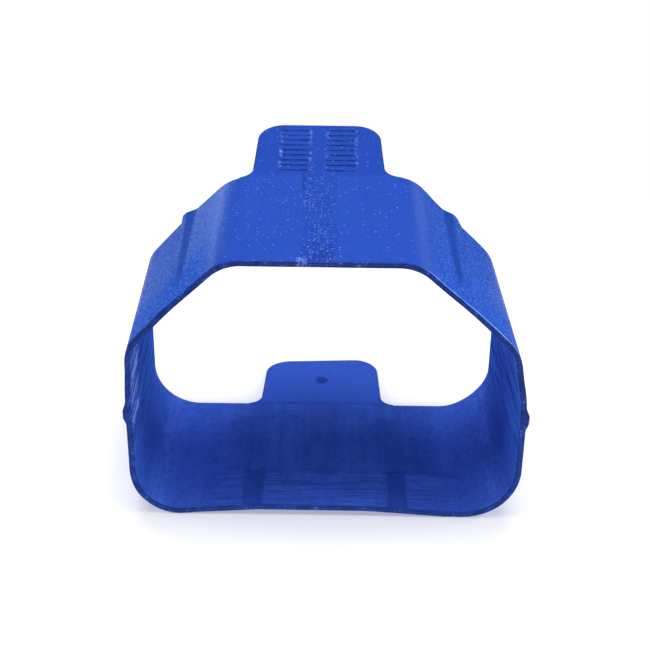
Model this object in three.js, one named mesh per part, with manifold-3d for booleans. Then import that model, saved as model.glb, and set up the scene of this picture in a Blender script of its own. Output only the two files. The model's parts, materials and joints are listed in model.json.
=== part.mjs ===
// Plug locking sleeve: a thin polypropylene band that is pushed over the shroud of an appliance plug.
// It is open at both ends. Two flexible tabs stand out from the rear edge, one from the top wall and
// one from the bottom wall, each bending about a crease.
//
// Frame: millimetres, +Z up, +X to the right, the mouth towards -Y and the tabs towards +Y. The origin is
// at the centre of the bounding box's bottom, and the part stands on its flat bottom wall.
import * as THREE from 'three';
import { mergeVertices } from 'three/addons/utils/BufferGeometryUtils.js';
import Module from 'manifold-3d';

const wasm = await Module();
wasm.setup();

// ---- Driving dimensions ----
const SLEEVE_WIDTH = 28.9; // outside, at the mouth
const SLEEVE_HEIGHT = 21.3; // outside, at the mouth
const SLEEVE_DEPTH = 15; // mouth to rear edge
const WALL = 0.45;
const CHAMFER_WIDTH = 7.6; // how far each top corner is cut back along the top
const CHAMFER_HEIGHT = 7.3; // and down the side
const CROWN_RADIUS = 3.6; // outside bend between the top wall and a chamfer
const SHOULDER_RADIUS = 3; // outside bend between a chamfer and a side wall
const FOOT_RADIUS = 4.2; // outside bend between a side wall and the bottom wall
const REAR_SCALE = 0.986; // mould draft: the section at the rear edge, as a share of the mouth's

const TAB_LENGTH = 7.3; // from the sleeve's rear edge to the tab's end
const TAB_ROOT_WIDTH = 10.2;
const TAB_END_WIDTH = 9.7;
const TAB_CORNER_RADIUS = 2.1;
const TAB_ROOT_FILLET = 0.9;
const CREASE_GAP = 0.4; // stands for the thinned web that bends
const UPPER_TAB_FLARE = 13; // degrees, how far the upper tab rests outside its wall's plane
const LOWER_TAB_FLARE = 0;

const RIB_SLOPE = 1; // wedge rib on each chamfer: its long slope, towards the crown
const RIB_CREST = 0.3;
const RIB_FLANK = 0.6; // its short flank, towards the shoulder
const RIB_HEIGHT = 0.34; // at the rear edge
const RIB_START = 1.2; // where it rises from the chamfer, behind the mouth
const RIB_POSITION = 0.48; // along the chamfer from the crown to the shoulder

const BUMP_HEIGHT = 0.3; // low wedge on each side wall, highest near the mouth
const BUMP_FLANK = 0.6;
const BUMP_CREST = 0.6;
const BUMP_LENGTH = 5;
const BUMP_LEVEL = 8.7; // height of its middle

const CHANNEL_WIDTH = 1.4; // shallow channel in the inner face of the bottom wall
const CHANNEL_DEPTH = 0.12;
const CHANNEL_LENGTH = 5;
const CHANNEL_OFFSET = 5.45; // either side of the middle

const GRIP_BAR = { length: 2.3, width: 0.34, height: 0.14, pitch: 0.68, count: 9, first: 1.1 };
const GRIP_COLUMNS = [-1.85, 1.75]; // x of each column's middle

const EJECTOR_MARK_RADIUS = 0.55;
const EJECTOR_MARK_DEPTH = 0.08;
const GATE_MARK = { x: -1.9, radius: 0.28, height: 0.16 };

const ARC_STEPS = 8; // segments in each bend
const SINK = 0.15; // how far a raised feature is rooted in its wall
const PROUD = 0.5; // how far a cutter stands clear of the face that it cuts

// ---- Derived places ----
const CHAMFER_ANGLE = Math.atan2(CHAMFER_HEIGHT, CHAMFER_WIDTH);
const REAR_HEIGHT = SLEEVE_HEIGHT * REAR_SCALE;
const TOTAL_DEPTH = SLEEVE_DEPTH + TAB_LENGTH;
const MOUTH_Y = -TOTAL_DEPTH / 2;
const REAR_Y = MOUTH_Y + SLEEVE_DEPTH;
const CREASE_Y = REAR_Y + CREASE_GAP / 2;
const UPPER_CREASE_Z = REAR_HEIGHT - WALL / 2;
const LOWER_CREASE_Z = WALL / 2;

// ---- Solids and meshes ----
function toSolid(geometry) {
  const plain = geometry.index ? geometry.toNonIndexed() : geometry.clone();
  plain.deleteAttribute('normal');
  plain.deleteAttribute('uv');
  const merged = mergeVertices(plain, 1e-5);
  const vertProperties = new Float32Array(merged.attributes.position.array);
  const triVerts = new Uint32Array(merged.index.array);
  return new wasm.Manifold(new wasm.Mesh({ numProp: 3, vertProperties, triVerts }));
}

function toMesh(name, solid, material) {
  const { vertProperties, triVerts } = solid.getMesh();
  const geometry = new THREE.BufferGeometry();
  geometry.setAttribute('position', new THREE.BufferAttribute(new Float32Array(vertProperties), 3));
  geometry.setIndex(new THREE.BufferAttribute(new Uint32Array(triVerts), 1));
  geometry.computeVertexNormals();
  const mesh = new THREE.Mesh(geometry, material);
  mesh.name = name;
  return mesh;
}

function plastic() {
  return new THREE.MeshStandardMaterial({ color: 0x3058c8, roughness: 0.42, metalness: 0 });
}

// A shape through the given corners. Each corner is { x, y, r }, and r rounds it with an arc.
function roundedShape(corners) {
  const shape = new THREE.Shape();
  corners.forEach((corner, i) => {
    const here = new THREE.Vector2(corner.x, corner.y);
    if (!corner.r) {
      i === 0 ? shape.moveTo(here.x, here.y) : shape.lineTo(here.x, here.y);
      return;
    }
    const before = corners[(i + corners.length - 1) % corners.length];
    const after = corners[(i + 1) % corners.length];
    const back = new THREE.Vector2(before.x, before.y).sub(here).normalize();
    const on = new THREE.Vector2(after.x, after.y).sub(here).normalize();
    const half = Math.acos(back.dot(on)) / 2;
    const start = here.clone().addScaledVector(back, corner.r / Math.tan(half));
    const middle = back.clone().add(on).normalize().multiplyScalar(corner.r / Math.sin(half)).add(here);
    const end = here.clone().addScaledVector(on, corner.r / Math.tan(half));
    const from = Math.atan2(start.y - middle.y, start.x - middle.x);
    const to = Math.atan2(end.y - middle.y, end.x - middle.x);
    const clockwise = back.cross(on) > 0;
    i === 0 ? shape.moveTo(start.x, start.y) : shape.lineTo(start.x, start.y);
    shape.absarc(middle.x, middle.y, corner.r, from, to, clockwise);
  });
  return shape;
}

// Extrudes a shape drawn in (x, z) from y = from to y = to.
function alongY(shape, from, to) {
  const geometry = new THREE.ExtrudeGeometry(shape, {
    depth: to - from, bevelEnabled: false, curveSegments: ARC_STEPS,
  });
  return geometry.rotateX(Math.PI / 2).translate(0, to, 0);
}

function block(width, depth, height) {
  return new THREE.BoxGeometry(width, depth, height);
}

// Applies the mould draft: every section shrinks evenly towards the rear, about the middle of its base.
function drafted(geometry) {
  const points = geometry.attributes.position;
  for (let i = 0; i < points.count; i += 1) {
    const share = (points.getY(i) - MOUTH_Y) / SLEEVE_DEPTH;
    const scale = 1 - (1 - REAR_SCALE) * share;
    points.setXYZ(i, points.getX(i) * scale, points.getY(i), points.getZ(i) * scale);
  }
  return geometry;
}

// ---- Sleeve ----
// The section, moved inwards by inset, counter-clockwise from the right foot.
function section(inset) {
  const side = SLEEVE_WIDTH / 2 - inset;
  const top = SLEEVE_HEIGHT - inset;
  const crown = SLEEVE_WIDTH / 2 - CHAMFER_WIDTH - inset * Math.tan(CHAMFER_ANGLE / 2);
  const shoulder = SLEEVE_HEIGHT - CHAMFER_HEIGHT - inset * Math.tan(Math.PI / 4 - CHAMFER_ANGLE / 2);
  const foot = FOOT_RADIUS - inset;
  return roundedShape([
    { x: side, y: inset, r: foot },
    { x: side, y: shoulder, r: SHOULDER_RADIUS - inset },
    { x: crown, y: top, r: CROWN_RADIUS - inset },
    { x: -crown, y: top, r: CROWN_RADIUS - inset },
    { x: -side, y: shoulder, r: SHOULDER_RADIUS - inset },
    { x: -side, y: inset, r: foot },
  ]);
}

function band() {
  const outside = toSolid(drafted(alongY(section(0), MOUTH_Y, REAR_Y)));
  const hollow = alongY(section(WALL), MOUTH_Y - PROUD, REAR_Y + PROUD);
  return outside.subtract(toSolid(drafted(hollow)));
}

// A ridge along +Y, rooted SINK below z = 0, with its crest centred on x = 0 and a flank of its own width
// on each side. Its height runs evenly from startHeight to endHeight.
function wedge({ left, crest, right }, length, startHeight, endHeight) {
  const shape = new THREE.Shape([
    new THREE.Vector2(-crest / 2 - left, -SINK),
    new THREE.Vector2(crest / 2 + right, -SINK),
    new THREE.Vector2(crest / 2 + right, 0),
    new THREE.Vector2(crest / 2, 1),
    new THREE.Vector2(-crest / 2, 1),
    new THREE.Vector2(-crest / 2 - left, 0),
  ]);
  const geometry = alongY(shape, 0, length);
  const points = geometry.attributes.position;
  for (let i = 0; i < points.count; i += 1) {
    const height = startHeight + (endHeight - startHeight) * points.getY(i) / length;
    if (points.getZ(i) > 0) points.setZ(i, points.getZ(i) * height);
  }
  return geometry;
}

function chamferRib(side) {
  const length = SLEEVE_DEPTH - RIB_START;
  const widths = side > 0
    ? { left: RIB_SLOPE, crest: RIB_CREST, right: RIB_FLANK }
    : { left: RIB_FLANK, crest: RIB_CREST, right: RIB_SLOPE };
  const rib = wedge(widths, length, 0.03, RIB_HEIGHT);
  rib.rotateY(side * CHAMFER_ANGLE);
  const x = SLEEVE_WIDTH / 2 - CHAMFER_WIDTH * (1 - RIB_POSITION);
  const z = SLEEVE_HEIGHT - CHAMFER_HEIGHT * RIB_POSITION;
  rib.translate(side * x, MOUTH_Y + RIB_START, z);
  return toSolid(drafted(rib));
}

function sideBump(side) {
  const widths = { left: BUMP_FLANK, crest: BUMP_CREST, right: BUMP_FLANK };
  const bump = wedge(widths, BUMP_LENGTH, BUMP_HEIGHT, 0.03);
  bump.rotateY(side * Math.PI / 2);
  bump.translate(side * SLEEVE_WIDTH / 2, MOUTH_Y, BUMP_LEVEL);
  return toSolid(drafted(bump));
}

function lipChannel(side) {
  const cutter = block(CHANNEL_WIDTH, CHANNEL_LENGTH + PROUD, CHANNEL_DEPTH + PROUD);
  const y = MOUTH_Y + (CHANNEL_LENGTH - PROUD) / 2;
  cutter.translate(side * CHANNEL_OFFSET, y, WALL + (PROUD - CHANNEL_DEPTH) / 2);
  return toSolid(cutter);
}

// The stub left where the moulding was cut from its runner, on the top wall at the mouth.
function gateMark() {
  const height = GATE_MARK.height + SINK;
  const stub = new THREE.CylinderGeometry(GATE_MARK.radius * 0.8, GATE_MARK.radius, height, 12);
  stub.rotateX(Math.PI / 2);
  stub.translate(GATE_MARK.x, MOUTH_Y + GATE_MARK.radius, SLEEVE_HEIGHT - SINK + height / 2);
  return toSolid(stub);
}

function sleeve() {
  let solid = band().add(gateMark());
  for (const side of [-1, 1]) {
    solid = solid.add(chamferRib(side)).add(sideBump(side)).subtract(lipChannel(side));
  }
  return toMesh('sleeve', solid, plastic());
}

// ---- Tabs ----
// The tab's outline in (x, distance from the sleeve's rear edge), with fillets that widen its root.
function tabOutline() {
  const start = CREASE_GAP;
  const rootHalf = TAB_ROOT_WIDTH / 2;
  const endHalf = TAB_END_WIDTH / 2;
  const fillet = TAB_ROOT_FILLET;
  const shape = new THREE.Shape();
  shape.moveTo(-rootHalf - fillet, start);
  shape.lineTo(rootHalf + fillet, start);
  shape.absarc(rootHalf + fillet, start + fillet, fillet, -Math.PI / 2, -Math.PI, true);
  shape.lineTo(endHalf, TAB_LENGTH - TAB_CORNER_RADIUS);
  shape.absarc(endHalf - TAB_CORNER_RADIUS, TAB_LENGTH - TAB_CORNER_RADIUS, TAB_CORNER_RADIUS,
    0, Math.PI / 2, false);
  shape.absarc(TAB_CORNER_RADIUS - endHalf, TAB_LENGTH - TAB_CORNER_RADIUS, TAB_CORNER_RADIUS,
    Math.PI / 2, Math.PI, false);
  shape.lineTo(-rootHalf, start + fillet);
  shape.absarc(-rootHalf - fillet, start + fillet, fillet, 0, -Math.PI / 2, true);
  return shape;
}

// The bare tab about its crease: the crease axis is the X axis, and the tab runs along +Y.
function tabPlate() {
  const plate = new THREE.ExtrudeGeometry(tabOutline(), {
    depth: WALL, bevelEnabled: false, curveSegments: ARC_STEPS,
  });
  return toSolid(plate.translate(0, REAR_Y - CREASE_Y, -WALL / 2));
}

function gripBar(x, row) {
  const { length, width, height, pitch, first } = GRIP_BAR;
  const bar = block(length, width, height + SINK);
  const y = REAR_Y - CREASE_Y + first + row * pitch;
  return toSolid(bar.translate(x, y, WALL / 2 + (height - SINK) / 2));
}

function ejectorMark() {
  const depth = EJECTOR_MARK_DEPTH + PROUD;
  const cutter = new THREE.CylinderGeometry(EJECTOR_MARK_RADIUS, EJECTOR_MARK_RADIUS, depth, 24);
  cutter.rotateX(Math.PI / 2);
  return toSolid(cutter.translate(0, TAB_LENGTH / 2, WALL / 2 - EJECTOR_MARK_DEPTH + depth / 2));
}

function upperTab() {
  let solid = tabPlate();
  for (const x of GRIP_COLUMNS) {
    for (let row = 0; row < GRIP_BAR.count; row += 1) solid = solid.add(gripBar(x, row));
  }
  const mesh = toMesh('upper_tab', solid, plastic());
  mesh.position.set(0, CREASE_Y, UPPER_CREASE_Z);
  mesh.rotation.x = THREE.MathUtils.degToRad(UPPER_TAB_FLARE);
  return mesh;
}

function lowerTab() {
  const mesh = toMesh('lower_tab', tabPlate().subtract(ejectorMark()), plastic());
  mesh.position.set(0, CREASE_Y, LOWER_CREASE_Z);
  mesh.rotation.x = THREE.MathUtils.degToRad(-LOWER_TAB_FLARE);
  return mesh;
}

const part = new THREE.Group();
part.add(sleeve(), upperTab(), lowerTab());

export default part;
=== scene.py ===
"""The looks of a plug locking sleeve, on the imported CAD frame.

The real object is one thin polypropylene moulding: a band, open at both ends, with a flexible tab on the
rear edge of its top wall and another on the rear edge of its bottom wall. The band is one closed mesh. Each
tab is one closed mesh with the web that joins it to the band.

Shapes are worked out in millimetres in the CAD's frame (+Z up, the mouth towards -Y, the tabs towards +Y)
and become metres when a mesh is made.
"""

import json
import math

import bpy
import numpy as np
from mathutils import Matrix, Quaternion, Vector


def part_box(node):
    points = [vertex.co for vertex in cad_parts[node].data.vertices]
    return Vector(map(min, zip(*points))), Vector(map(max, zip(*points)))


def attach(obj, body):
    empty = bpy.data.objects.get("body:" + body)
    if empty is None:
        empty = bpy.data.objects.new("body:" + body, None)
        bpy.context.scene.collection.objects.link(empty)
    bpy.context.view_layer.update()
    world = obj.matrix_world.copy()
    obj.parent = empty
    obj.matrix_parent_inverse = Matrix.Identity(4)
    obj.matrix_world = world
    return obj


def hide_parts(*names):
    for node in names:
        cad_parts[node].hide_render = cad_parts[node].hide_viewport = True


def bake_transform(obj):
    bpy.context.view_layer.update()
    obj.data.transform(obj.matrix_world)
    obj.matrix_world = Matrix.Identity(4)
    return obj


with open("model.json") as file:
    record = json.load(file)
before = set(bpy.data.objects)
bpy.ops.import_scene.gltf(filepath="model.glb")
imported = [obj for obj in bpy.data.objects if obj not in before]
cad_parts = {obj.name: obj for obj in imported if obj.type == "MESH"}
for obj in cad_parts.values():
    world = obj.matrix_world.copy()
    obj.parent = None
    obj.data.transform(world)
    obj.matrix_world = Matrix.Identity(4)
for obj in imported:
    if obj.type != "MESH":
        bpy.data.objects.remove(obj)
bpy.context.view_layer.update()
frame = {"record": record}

MM = 0.001

# ---- Dimensions shared with the CAD, in millimetres ----
SLEEVE_WIDTH = 28.9
SLEEVE_HEIGHT = 21.3
WALL = 0.45
CHAMFER_WIDTH = 7.6
CHAMFER_HEIGHT = 7.3
CROWN_RADIUS = 3.6
SHOULDER_RADIUS = 3.0
FOOT_RADIUS = 4.2
REAR_SCALE = 0.986
TAB_LENGTH = 7.3
TAB_ROOT_WIDTH = 10.2
TAB_END_WIDTH = 9.7
TAB_CORNER_RADIUS = 2.1
CREASE_GAP = 0.4
UPPER_TAB_FLARE = math.radians(13)
RIB_SLOPE = 1.0
RIB_CREST = 0.3
RIB_FLANK = 0.6
RIB_HEIGHT = 0.34
RIB_START = 1.2
RIB_POSITION = 0.48
BUMP_FLANK = 0.6
BUMP_CREST = 0.6
BUMP_LENGTH = 5.0
BUMP_LEVEL = 8.7
CHANNEL_WIDTH = 1.4
CHANNEL_DEPTH = 0.12
CHANNEL_LENGTH = 5.0
CHANNEL_OFFSET = 5.45
BAR_LENGTH = 2.3
BAR_WIDTH = 0.34
BAR_HEIGHT = 0.14
BAR_PITCH = 0.68
BAR_COUNT = 9
BAR_FIRST = 1.1
BAR_COLUMNS = (-1.85, 1.75)
EJECTOR_MARK_RADIUS = 0.55
EJECTOR_MARK_DEPTH = 0.08
GATE_X = -1.9
GATE_RADIUS = 0.28
GATE_HEIGHT = 0.16

sleeve_low, sleeve_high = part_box("sleeve")
MOUTH_Y = sleeve_low[1] / MM
REAR_Y = sleeve_high[1] / MM
DEPTH = REAR_Y - MOUTH_Y

# ---- Details that only the looks have, in millimetres ----
RIM_RADIUS = 0.07  # rounding of the band's edges
TRIM_LINE = 0.03  # how far the witness line stands out of the mouth's edge
PANEL = (-1.3, 1.15)  # left and right edges of the rougher strip along the top wall
PANEL_RELIEF = 0.02  # how deep that strip is sunk
BUMP_HEIGHT = 0.22  # lower than the CAD's 0.3
CHANNEL_FLANK = 0.06
GATE_STRETCH = 1.2  # how much wider than long the gate mark is
RIB_START_HEIGHT = 0.05
RIB_SHADE = 0.28  # how strongly a rib's long slope is shaded, on the scale of the relief marks
SHADE_WIDTH = (0.25, 0.5)  # half width of that shading at the mouth and at the rear edge
RIB_RIGHT_RISE = 0.35  # how much higher on its chamfer the right rib lies
RIB_RIGHT_FLANK = 1.1
RIB_RIGHT_HEIGHT = 0.82  # height of the right rib as a share of the left one's
TRIM_DEPTH = 0.22  # how far below the outer face the witness line runs
# The witness line's section, as (share of TRIM_LINE behind its crest, distance to either side).
TRIM_PROFILE = ((1.0, 0.08), (0.9, 0.04), (0.2, 0.015), (0.0, 0.0))
WEB_THICKNESS = 0.3
WEB_ROOT = 0.25  # how far a tab's web is rooted in the band's wall
TAB_EDGE_RADIUS = 0.09
ROOT_FILLET = 1.2  # radius of the fillets at a tab's root
WALL_WAVE = 0.012  # unevenness of the walls
WEB_DIP = (-0.16, -0.08)  # places along a tab between which the web's face rises level with the wall's
TAB_LIFT = 0.004  # how far a tab's middle stands above the wall's
BAR_EDGE = 0.1  # width of the flanks of a grip bar
FAN_SPREAD = 0.65  # how much the gate's rough fan widens for each millimetre

# The set that the thin moulding has taken.
RACK_TOP_MOUTH = -0.53  # sideways shift of the top wall at the mouth
RACK_TOP_REAR = -0.64  # and at the rear edge
RACK_BOTTOM_REAR = -0.46  # sideways shift of the bottom wall at the rear edge
RACK_FROM = 8.2  # height where the top's shift begins
TAB_SHIFT = -0.21  # sideways shift of the upper tab on its wall
TOP_FLAT_HALF = 5.2  # from the middle to where the top wall bends into the chamfers, at the rear edge
PINCH = (0.31, 0.42)  # how far the left and right side walls are drawn in at the shoulders
PINCH_LEVEL = 13.2
PINCH_SPREAD = 2.3
TOP_SPREAD = 0.08  # how far the crowns are spread at the rear edge
FOOT_PUSH = ((0.22, 0.0), (0.0, -0.25))  # how far the left and right foot bends stand out: mouth, rear edge
SHOULDER_RISE = 0.2  # how much higher the right chamfer's lower part stands at its rear edge
CROWN_RISE = 0.22  # how much higher the top wall's right part stands at its rear edge
TOP_DROOP = 0.13  # how far the top wall's lip hangs down
LOWER_TAB_SET = math.radians(1.0)  # how far the lower tab rises from its wall's plane
LOWER_TAB_SLANT = 0.06  # how much shorter the lower tab has set for each millimetre left of SLANT_FROM
SLANT_FROM = 3.3
LIP_LIFT = ((-14.45, 0.0), (-11.0, 0.0), (-5.0, 0.42), (3.0, 0.42), (9.0, 0.0), (14.45, 0.0))
LIP_REACH = 6.0  # how far behind the mouth the lift fades

# Where the set shows. A pair holds the two places between which a part of it sets in or fades.
SIDE_BLEND = (-8, 8)  # sideways, from the left side's set to the right side's
SPREAD_LEVELS = (15.5, 18)  # heights, for the crowns' spread
FOOT_ZONE = (9.5, 12.5)  # distances from the middle, for a foot bend's push
FOOT_LEVELS = (1.5, 4.5)  # heights, for the same push
LIP_LEVELS = (0.5, 5)  # heights, for the front lip's lift
DROOP_LEVELS = (17, 20)  # heights, for the top wall's droop
CROWN_LEVELS = (18.5, 20.5)  # heights, for the rise of the top wall's right part
CROWN_ZONE = (2.5, 5.5)  # sideways, for the same rise
CROWN_REACH = (0.5, 4)  # distances behind the rear edge, for the same rise
SHOULDER_LEVEL = 15.0  # height where the right chamfer's rise is greatest
SHOULDER_SPREAD = 1.5
SHOULDER_ZONE = (8, 11)  # sideways, for the same rise
PINCH_WHOLE = 14.0  # distance from the middle where the pinch is whole
CROWN_SHARE = 0.5  # share of that distance at which the crowns lie

# How closely the band's outline and the tabs are sampled.
PLAIN_STEP = 0.32
BEND_STEP = 0.2
BUMP_STEP = 0.12
SLOPE_STEP = 0.09  # across the ribs
FINE_STEP = 0.06  # at the edges of the channels, the strip and the gate mark
TAB_COLUMNS = 97
CORNER_ROWS = 34

# Marks on the scale of the relief attribute.
WITNESS_MARK = 0.22  # the witness line round the mouth
CORNER_HIGHLIGHT_MARK = 1.0  # painted highlight on the upper right of the mouth's outer corner


def smooth(value, low, high):
    """0 below low, 1 above high, and a smooth rise between them."""
    share = np.clip((value - low) / (high - low), 0, 1)
    return share * share * (3 - 2 * share)


def ridge(offset, base, crest):
    """Height, from 0 to 1, of a soft-edged trapezoid centred on offset 0."""
    share = np.clip((base / 2 - np.abs(offset)) / ((base - crest) / 2), 0, 1)
    return 0.6 * share + 0.4 * share * share * (3 - 2 * share)


# ---- Camera ----
def add_camera():
    data = bpy.data.cameras.new("camera")
    data.lens = 76.5
    data.sensor_width = 36.0
    data.shift_x = 0.0038
    data.shift_y = 0.0388
    data.clip_start = 0.005
    data.clip_end = 10
    camera = bpy.data.objects.new("camera", data)
    bpy.context.scene.collection.objects.link(camera)
    bpy.context.scene.camera = camera
    aim = Vector((-0.35, -3.65, 10.0)) * MM
    yaw, elevation, roll = math.radians(0.37), math.radians(29.9), math.radians(0.645)
    distance = 105.2 * MM
    back = Vector((math.sin(yaw) * math.cos(elevation), -math.cos(yaw) * math.cos(elevation),
                   math.sin(elevation)))
    camera.location = aim + back * distance
    camera.rotation_mode = "QUATERNION"
    camera.rotation_quaternion = Quaternion(back, roll) @ (-back).to_track_quat("-Z", "Y")


# ---- The band's outline ----
class Outline:
    """The band's outer section at the mouth, measured by the distance along it from the left end of the
    bottom wall's flat, counter-clockwise as seen from the mouth."""

    def __init__(self):
        side = SLEEVE_WIDTH / 2
        shoulder = SLEEVE_HEIGHT - CHAMFER_HEIGHT
        crown = side - CHAMFER_WIDTH
        corners = (
            (side, 0, FOOT_RADIUS),
            (side, shoulder, SHOULDER_RADIUS),
            (crown, SLEEVE_HEIGHT, CROWN_RADIUS),
            (-crown, SLEEVE_HEIGHT, CROWN_RADIUS),
            (-side, shoulder, SHOULDER_RADIUS),
            (-side, 0, FOOT_RADIUS),
        )
        self.runs = []
        for i, (x, z, radius) in enumerate(corners):
            here = np.array((x, z), float)
            before = np.array(corners[i - 1][:2], float) - here
            after = np.array(corners[(i + 1) % len(corners)][:2], float) - here
            before /= np.linalg.norm(before)
            after /= np.linalg.norm(after)
            half = math.acos(float(before @ after)) / 2
            reach = radius / math.tan(half)
            bisector = (before + after) / np.linalg.norm(before + after)
            middle = here + bisector * radius / math.sin(half)
            start = here + before * reach
            end = here + after * reach
            self.runs.append({"start": start, "end": end, "middle": middle, "radius": radius,
                              "turn": math.pi - 2 * half})
        self.pieces = []
        travelled = 0.0
        previous = self.runs[-1]["end"]
        for run in self.runs:
            straight = float(np.linalg.norm(run["start"] - previous))
            self.pieces.append((travelled, straight, previous, run["start"], None))
            travelled += straight
            bend = run["turn"] * run["radius"]
            self.pieces.append((travelled, bend, None, None, run))
            travelled += bend
            previous = run["end"]
        self.length = travelled

    def at(self, distances):
        """Points (x, z) and outward normals at those distances."""
        points = np.zeros((len(distances), 2))
        normals = np.zeros((len(distances), 2))
        for start, length, first, last, run in self.pieces:
            inside = (distances >= start - 1e-9) & (distances < start + length - 1e-9)
            share = (distances[inside] - start) / length
            if run is None:
                direction = (last - first) / length
                points[inside] = first + share[:, None] * (last - first)
                normals[inside] = (direction[1], -direction[0])
            else:
                arm = run["start"] - run["middle"]
                angle = math.atan2(arm[1], arm[0]) + share * run["turn"]
                out = np.column_stack((np.cos(angle), np.sin(angle)))
                points[inside] = run["middle"] + run["radius"] * out
                normals[inside] = out
        return points, normals


def spaced(length, wanted_step):
    """Positions from 0 to length (left out) whose spacing follows wanted_step(positions)."""
    fine = np.arange(0, length, 0.01)
    counted = np.concatenate(([0], np.cumsum(0.01 / wanted_step(fine))))
    total = int(math.ceil(counted[-1]))
    edges = np.append(fine, length)
    return np.interp(np.arange(total) * counted[-1] / total, counted, edges)


OUTLINE = Outline()
CHAMFER_DIRECTION = np.array((CHAMFER_WIDTH, -CHAMFER_HEIGHT)) / math.hypot(CHAMFER_WIDTH, CHAMFER_HEIGHT)
RIB_MIDDLE = np.array((SLEEVE_WIDTH / 2 - CHAMFER_WIDTH * (1 - RIB_POSITION),
                       SLEEVE_HEIGHT - CHAMFER_HEIGHT * RIB_POSITION))


def across_rib(x, z):
    """Distance from the rib's middle, down along the chamfer."""
    across = (np.abs(x) - RIB_MIDDLE[0]) * CHAMFER_DIRECTION[0] + (z - RIB_MIDDLE[1]) * CHAMFER_DIRECTION[1]
    return across + RIB_RIGHT_RISE * (x > 0)


def outline_step(distances):
    """How closely the outline is sampled: finely at its bends and where it has a detail."""
    points, _ = OUTLINE.at(distances)
    x, z = points[:, 0], points[:, 1]
    step = np.full(len(distances), PLAIN_STEP)
    for start, length, _, _, run in OUTLINE.pieces:
        if run is not None:
            near = (distances > start - 0.2) & (distances < start + length + 0.2)
            step[near] = BEND_STEP
    chamfer = (z > SLEEVE_HEIGHT - CHAMFER_HEIGHT) & (np.abs(x) > SLEEVE_WIDTH / 2 - CHAMFER_WIDTH)
    step[chamfer & (np.abs(across_rib(x, z)) < 1.5)] = SLOPE_STEP
    side = np.abs(x) > SLEEVE_WIDTH / 2 - 0.1
    step[side & (np.abs(z - BUMP_LEVEL) < 1.1)] = BUMP_STEP
    bottom = z < 0.1
    for middle in (-CHANNEL_OFFSET, CHANNEL_OFFSET):
        for edge in (-1, 1):
            step[bottom & (np.abs(x - middle - edge * CHANNEL_WIDTH / 2) < 0.2)] = FINE_STEP
    top = z > SLEEVE_HEIGHT - 0.1
    for edge in PANEL:
        step[top & (np.abs(x - edge) < 0.15)] = FINE_STEP
    step[top & (np.abs(x - GATE_X + RACK_TOP_MOUTH) < 0.4)] = FINE_STEP
    return step


# ---- Relief of the band's faces ----
def wave(x, y, z):
    """A slow unevenness of the wall, from -1 to 0."""
    return 0.5 * (np.sin(0.55 * x + 0.31 * z + 0.4) * np.sin(0.42 * y - 0.23 * z) +
                  0.4 * np.sin(1.3 * x - 0.9 * y + 0.7 * z) - 1.4) / 1.4


def rib_section(offset, right):
    """The wedge rib's section: a long slope on the crown's side and a short one towards the shoulder."""
    flank = np.where(right, RIB_RIGHT_FLANK, RIB_FLANK)
    rise = np.clip((offset + RIB_CREST / 2 + RIB_SLOPE) / RIB_SLOPE, 0, 1)
    fall = np.clip((flank + RIB_CREST / 2 - offset) / flank, 0, 1)
    height = np.minimum(rise, fall)
    return 0.5 * height + 0.5 * height * height * (3 - 2 * height)


def outer_relief(x, y, z):
    """How far the outer face stands out of the plain wall."""
    behind = y - MOUTH_Y
    height = WALL_WAVE * wave(x, y, z)
    chamfer = ((z > SLEEVE_HEIGHT - CHAMFER_HEIGHT - 0.3) &
               (np.abs(x) > SLEEVE_WIDTH / 2 - CHAMFER_WIDTH - 0.3))
    growth = np.clip((behind - RIB_START) / (DEPTH - RIB_START), 0, 1)
    start = RIB_START_HEIGHT * smooth(behind, RIB_START - 0.4, RIB_START + 0.1)
    rib = (start + (RIB_HEIGHT - RIB_START_HEIGHT) * growth) * np.where(x > 0, RIB_RIGHT_HEIGHT, 1)
    height += chamfer * rib_section(across_rib(x, z), x > 0) * rib
    side = np.abs(x) > SLEEVE_WIDTH / 2 - 0.1
    fade = np.clip(1 - behind / BUMP_LENGTH, 0, 1)
    bump = ridge(z - BUMP_LEVEL, BUMP_CREST + 2 * BUMP_FLANK, BUMP_CREST)
    height += side * bump * BUMP_HEIGHT * fade
    top = z > SLEEVE_HEIGHT - 0.05
    strip = smooth(x, PANEL[0] - 0.05, PANEL[0] + 0.05) * (1 - smooth(x, PANEL[1] - 0.05, PANEL[1] + 0.05))
    height -= top * strip * PANEL_RELIEF
    gate = np.hypot(x - GATE_X + RACK_TOP_MOUTH, (behind - GATE_RADIUS) * GATE_STRETCH)
    height += top * GATE_HEIGHT * (1 - smooth(gate, 0.1, GATE_RADIUS))
    return height


def inner_relief(x, y, z):
    """How far the inner face is cut back below the plain wall."""
    behind = y - MOUTH_Y
    depth = -0.6 * WALL_WAVE * wave(y, x, z)
    bottom = z < 0.05
    lengthwise = 1 - smooth(behind, CHANNEL_LENGTH - 0.15, CHANNEL_LENGTH + 0.05)
    for middle in (-CHANNEL_OFFSET, CHANNEL_OFFSET):
        channel = ridge(x - middle, CHANNEL_WIDTH, CHANNEL_WIDTH - 2 * CHANNEL_FLANK)
        depth += bottom * channel * CHANNEL_DEPTH * lengthwise
    return depth


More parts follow.
